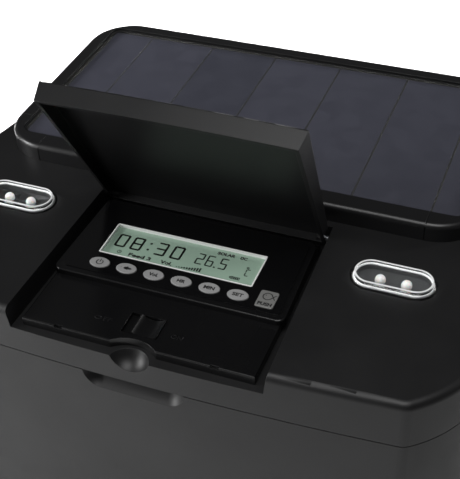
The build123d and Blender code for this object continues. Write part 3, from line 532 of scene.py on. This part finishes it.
# %% Words and icons on the display
low_line = lcd_y - 6.6
high_line = lcd_y + 7.7
for words, dx, y, cap, width in (("SOLAR", 19.6, high_line, 1.9, 8.9), ("DC", 28.2, high_line, 1.7, 3.3),
                                 ("Feed", -20.2, low_line, 2.1, 8.2), ("3", -13.8, low_line, 2.1, 1.9),
                                 ("Vol.", -5.0, low_line, 2.2, 5.9)):
    lettering(reading, words, lcd_x + dx, y, cap, lcd_top, width, 0.13)
arc(reading, lcd_x - 29.3, low_line + 0.3, 0.95, 0.3, 0, 360, lcd_top)
stroke_line(reading, lcd_x - 29.3, low_line + 0.3, lcd_x - 29.3, low_line + 0.95, 0.25, lcd_top)
stroke_line(reading, lcd_x - 29.3, low_line + 0.3, lcd_x - 28.8, low_line + 0.3, 0.25, lcd_top)
volume_bars = 10
for number in range(volume_bars):
    tall = 0.35 + 2.3 * (number / (volume_bars - 1)) ** 1.2
    bar(reading, lcd_x + 0.6 + 1.25 * number, lcd_y - 7.7 + tall / 2, 0.78, tall, lcd_top)
battery_x, battery_y = lcd_x + 29.0, lcd_y - 6.3
for dx in (-2.1, 2.1):
    bar(reading, battery_x + dx, battery_y, 0.3, 1.7, lcd_top)
for dy in (-0.7, 0.7):
    bar(reading, battery_x, battery_y + dy, 4.5, 0.3, lcd_top)
bar(reading, battery_x - 2.55, battery_y, 0.5, 0.8, lcd_top)
for number in range(4):
    bar(reading, battery_x - 1.35 + 0.9 * number, battery_y, 0.6, 0.9, lcd_top + 0.001)
degree_x, degree_y = lcd_x + 32.3, lcd_y + 1.9
arc(reading, degree_x, degree_y + 0.2, 0.45, 0.4, 0, 360, lcd_top, 12)
for dx, dy, length, upright in ((0.9, -0.9, 1.7, 0), (0.0, -2.0, 1.9, 1),
                                (0.0, -4.1, 1.9, 1), (0.9, -5.2, 1.7, 0)):
    segment(reading, degree_x + dx, degree_y + dy, length, 0.5, upright, lcd_top)
finish_sheet(reading, "display_reading", segment_black, "lid")
print("display reading at", round(lcd_top, 2), "mm above the ground")

# %% [markdown]
# ## Printing on the keys
# Each grey key carries one pad-printed sign: power, fish, portion, hour, minute and set, and the square key
# a larger fish with a word. A legend rides on the same body as its key, so it sinks with it. The power sign
# is an arc and a stroke, the fish an oval with a tail, and the rest are words.

# %% Key legends
def key_top(name):
    """Middle of a key's top face, in millimetres, a hair above it."""
    low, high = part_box(name)
    return (low[0] + high[0]) / 2 / MM, (low[1] + high[1]) / 2 / MM, high[2] / MM + 0.005


x, y, z = key_top("power_button")
power_sign = bmesh.new()
arc(power_sign, x, y, 1.55, 0.5, 125, 290, z)
stroke_line(power_sign, x, y + 0.1, x, y + 2.2, 0.5, z)
finish_sheet(power_sign, "power_button_sign", print_black, "power_button")

x, y, z = key_top("feed_button")
fish_sign = bmesh.new()
disc(fish_sign, x + 0.1, y - 0.1, 2.9, 1.8, z)
disc(fish_sign, x + 1.9, y - 0.1, 1.8, 1.9, z + 0.002, 3, -90)
disc(fish_sign, x + 0.3, y + 0.75, 1.3, 1.1, z + 0.004, 3)
disc(fish_sign, x - 2.7, y, 0.4, 0.4, z, 8)
finish_sheet(fish_sign, "feed_button_sign", print_black, "feed_button")

for name, words, width in (("volume_button", "Vol.", 4.6), ("hour_button", "HR", 4.0),
                           ("minute_button", "MIN", 5.2), ("set_button", "SET", 5.2)):
    x, y, z = key_top(name)
    word_sign = bmesh.new()
    lettering(word_sign, words, x, y, 2.0, z, width, 0.12)
    finish_sheet(word_sign, name + "_sign", print_black, name)

x, y, z = key_top("push_key")
push_sign = bmesh.new()
arc(push_sign, x - 0.2, y + 1.6, 2.1, 0.42, 35, 290, z)
for dy in (-1, 1):
    stroke_line(push_sign, x + 1.2, y + 1.6 + dy * 1.7, x + 3.5, y + 1.6 - dy * 1.6, 0.42, z + 0.002 * dy)
disc(push_sign, x - 1.1, y + 2.2, 0.5, 0.5, z, 8)
lettering(push_sign, "PUSH", x, y - 3.3, 1.9, z, 6.6, 0.12)
finish_sheet(push_sign, "push_key_sign", print_black, "push_key")
print("key signs done")

# %% [markdown]
# ## Raised words beside the slide switch
# The plate is moulded with two small raised words, black on black, that only show where light grazes them.
# They are letters with a little height in the same plastic, so the edges do the work and no colour is needed.

# %% Raised words
plate_low, plate_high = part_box("control_plate")
words_z = plate_high[2] / MM - 0.02
switch_words = bmesh.new()
lettering(switch_words, "OFF", -20.2, -109.3, 2.4, words_z, 8.6, 0.0)
lettering(switch_words, "ON", 15.2, -109.6, 2.4, words_z, 5.6, 0.0)
finish_sheet(switch_words, "switch_words", raised_black, "lid", 0.2)
print("raised words at", round(words_z, 2))

# %% [markdown]
# ## Rims of the lamps and the bead round the glass
# Each lamp window has a near-white rim at its foot and a finer one round its top. They are painted
# highlights:
# white bands that stand for the two fine lines of light on the edges of the clear window. A grey collar under
# the window hides the stems of the lamps; its grey, like that of the reflectors, is a painted dark
# reflection.
# The glass of the panel sits in a black bead of sealant that hides its cut edge. All of them follow the
# outline of a piece that is already there. A curve with a round profile could follow it too. Here the top
# face of the piece is copied, inset and raised, because the copy cannot miss the outline it came from.

# %% A rim that follows the top face of a piece
def keep_top_face(shape):
    """Delete all but the highest level face of a shape and make it one face again."""
    top = max(v.co.z for v in shape.verts)
    flat_top = 0.02 * MM
    side = [f for f in shape.faces if f.normal.z < 0.9 or top - f.calc_center_median().z > flat_top]
    bmesh.ops.delete(shape, geom=side, context="FACES")
    bmesh.ops.remove_doubles(shape, verts=shape.verts[:], dist=0.01 * MM)
    bmesh.ops.dissolve_limit(shape, angle_limit=0.01, verts=shape.verts[:], edges=shape.edges[:])


def place_piece(shape, name, material):
    """Turn a finished bmesh into a named object that rides on the lid."""
    mesh = bpy.data.meshes.new(name)
    shape.to_mesh(mesh)
    shape.free()
    mesh.materials.append(material)
    piece = bpy.data.objects.new(name, mesh)
    bpy.context.scene.collection.objects.link(piece)
    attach(piece, "lid")
    return piece


def rim(source, name, material, start, width, height, drop=0.0):
    """A raised band along a piece's top outline, in millimetres, let down by the drop.

    It starts this far inside the outline; less than zero grows the outline by that much first.
    """
    band = bmesh.new()
    band.from_mesh(nodes[source].data)
    keep_top_face(band)
    if start < 0:
        bmesh.ops.inset_region(band, faces=band.faces[:], thickness=-start * MM, use_boundary=True,
                               use_even_offset=True, use_outset=True)
        bmesh.ops.dissolve_faces(band, faces=band.faces[:])
    elif start > 0:
        outer = bmesh.ops.inset_region(band, faces=band.faces[:], thickness=start * MM, use_boundary=True,
                                       use_even_offset=True)["faces"]
        bmesh.ops.delete(band, geom=outer, context="FACES")
    bmesh.ops.translate(band, vec=(0, 0, -drop * MM), verts=band.verts[:])
    ring = bmesh.ops.inset_region(band, faces=band.faces[:], thickness=width * MM, use_boundary=True,
                                  use_even_offset=True)["faces"]
    bmesh.ops.delete(band, geom=[f for f in band.faces if f not in ring], context="FACES")
    made = bmesh.ops.extrude_face_region(band, geom=band.faces[:], use_keep_orig=True)["geom"]
    raised = [v for v in made if isinstance(v, bmesh.types.BMVert)]
    bmesh.ops.translate(band, vec=(0, 0, height * MM), verts=raised)
    crest = [e for e in made if isinstance(e, bmesh.types.BMEdge) and len(e.link_faces) == 2
             and abs(e.calc_face_angle(0)) > 1]
    bmesh.ops.bevel(band, geom=crest, affect="EDGES", offset=height * 0.4 * MM, segments=3, profile=0.5,
                    material=-1)
    bmesh.ops.recalc_face_normals(band, faces=band.faces[:])
    for face in band.faces:
        face.smooth = True
    return place_piece(band, name, material)


def collar(source, name, material, start, shift, thickness):
    """A level plate inside a piece's outline, moved up or down from its top face."""
    plate = bmesh.new()
    plate.from_mesh(nodes[source].data)
    keep_top_face(plate)
    edge = bmesh.ops.inset_region(plate, faces=plate.faces[:], thickness=start * MM, use_boundary=True,
                                  use_even_offset=True)["faces"]
    bmesh.ops.delete(plate, geom=edge, context="FACES")
    bmesh.ops.translate(plate, vec=(0, 0, shift * MM), verts=plate.verts[:])
    bmesh.ops.solidify(plate, geom=plate.faces[:], thickness=thickness * MM)
    bmesh.ops.recalc_face_normals(plate, faces=plate.faces[:])
    return place_piece(plate, name, material)


for side in ("left", "right"):
    rim("lamp_window_" + side, "lamp_rim_" + side, rim_painted_highlight, -2.2, 0.9, 0.9, 2.6)
    rim("lamp_window_" + side, "lamp_inner_rim_" + side, rim_painted_highlight, 0.1, 0.8, 0.35)
    collar("lamp_window_" + side, "lamp_collar_" + side, painted_reflection_grey, 0.4, -5.0, 0.5)
bead = rim("solar_glass", "glass_bead", sealant, 0.0, 1.3, 0.3)
print("rims done; bead faces:", len(bead.data.polygons))


# %% [markdown]
# ## Close the lesson
# The view layer is brought up to date once more.

# %% Bring the scene up to date
bpy.context.view_layer.update()
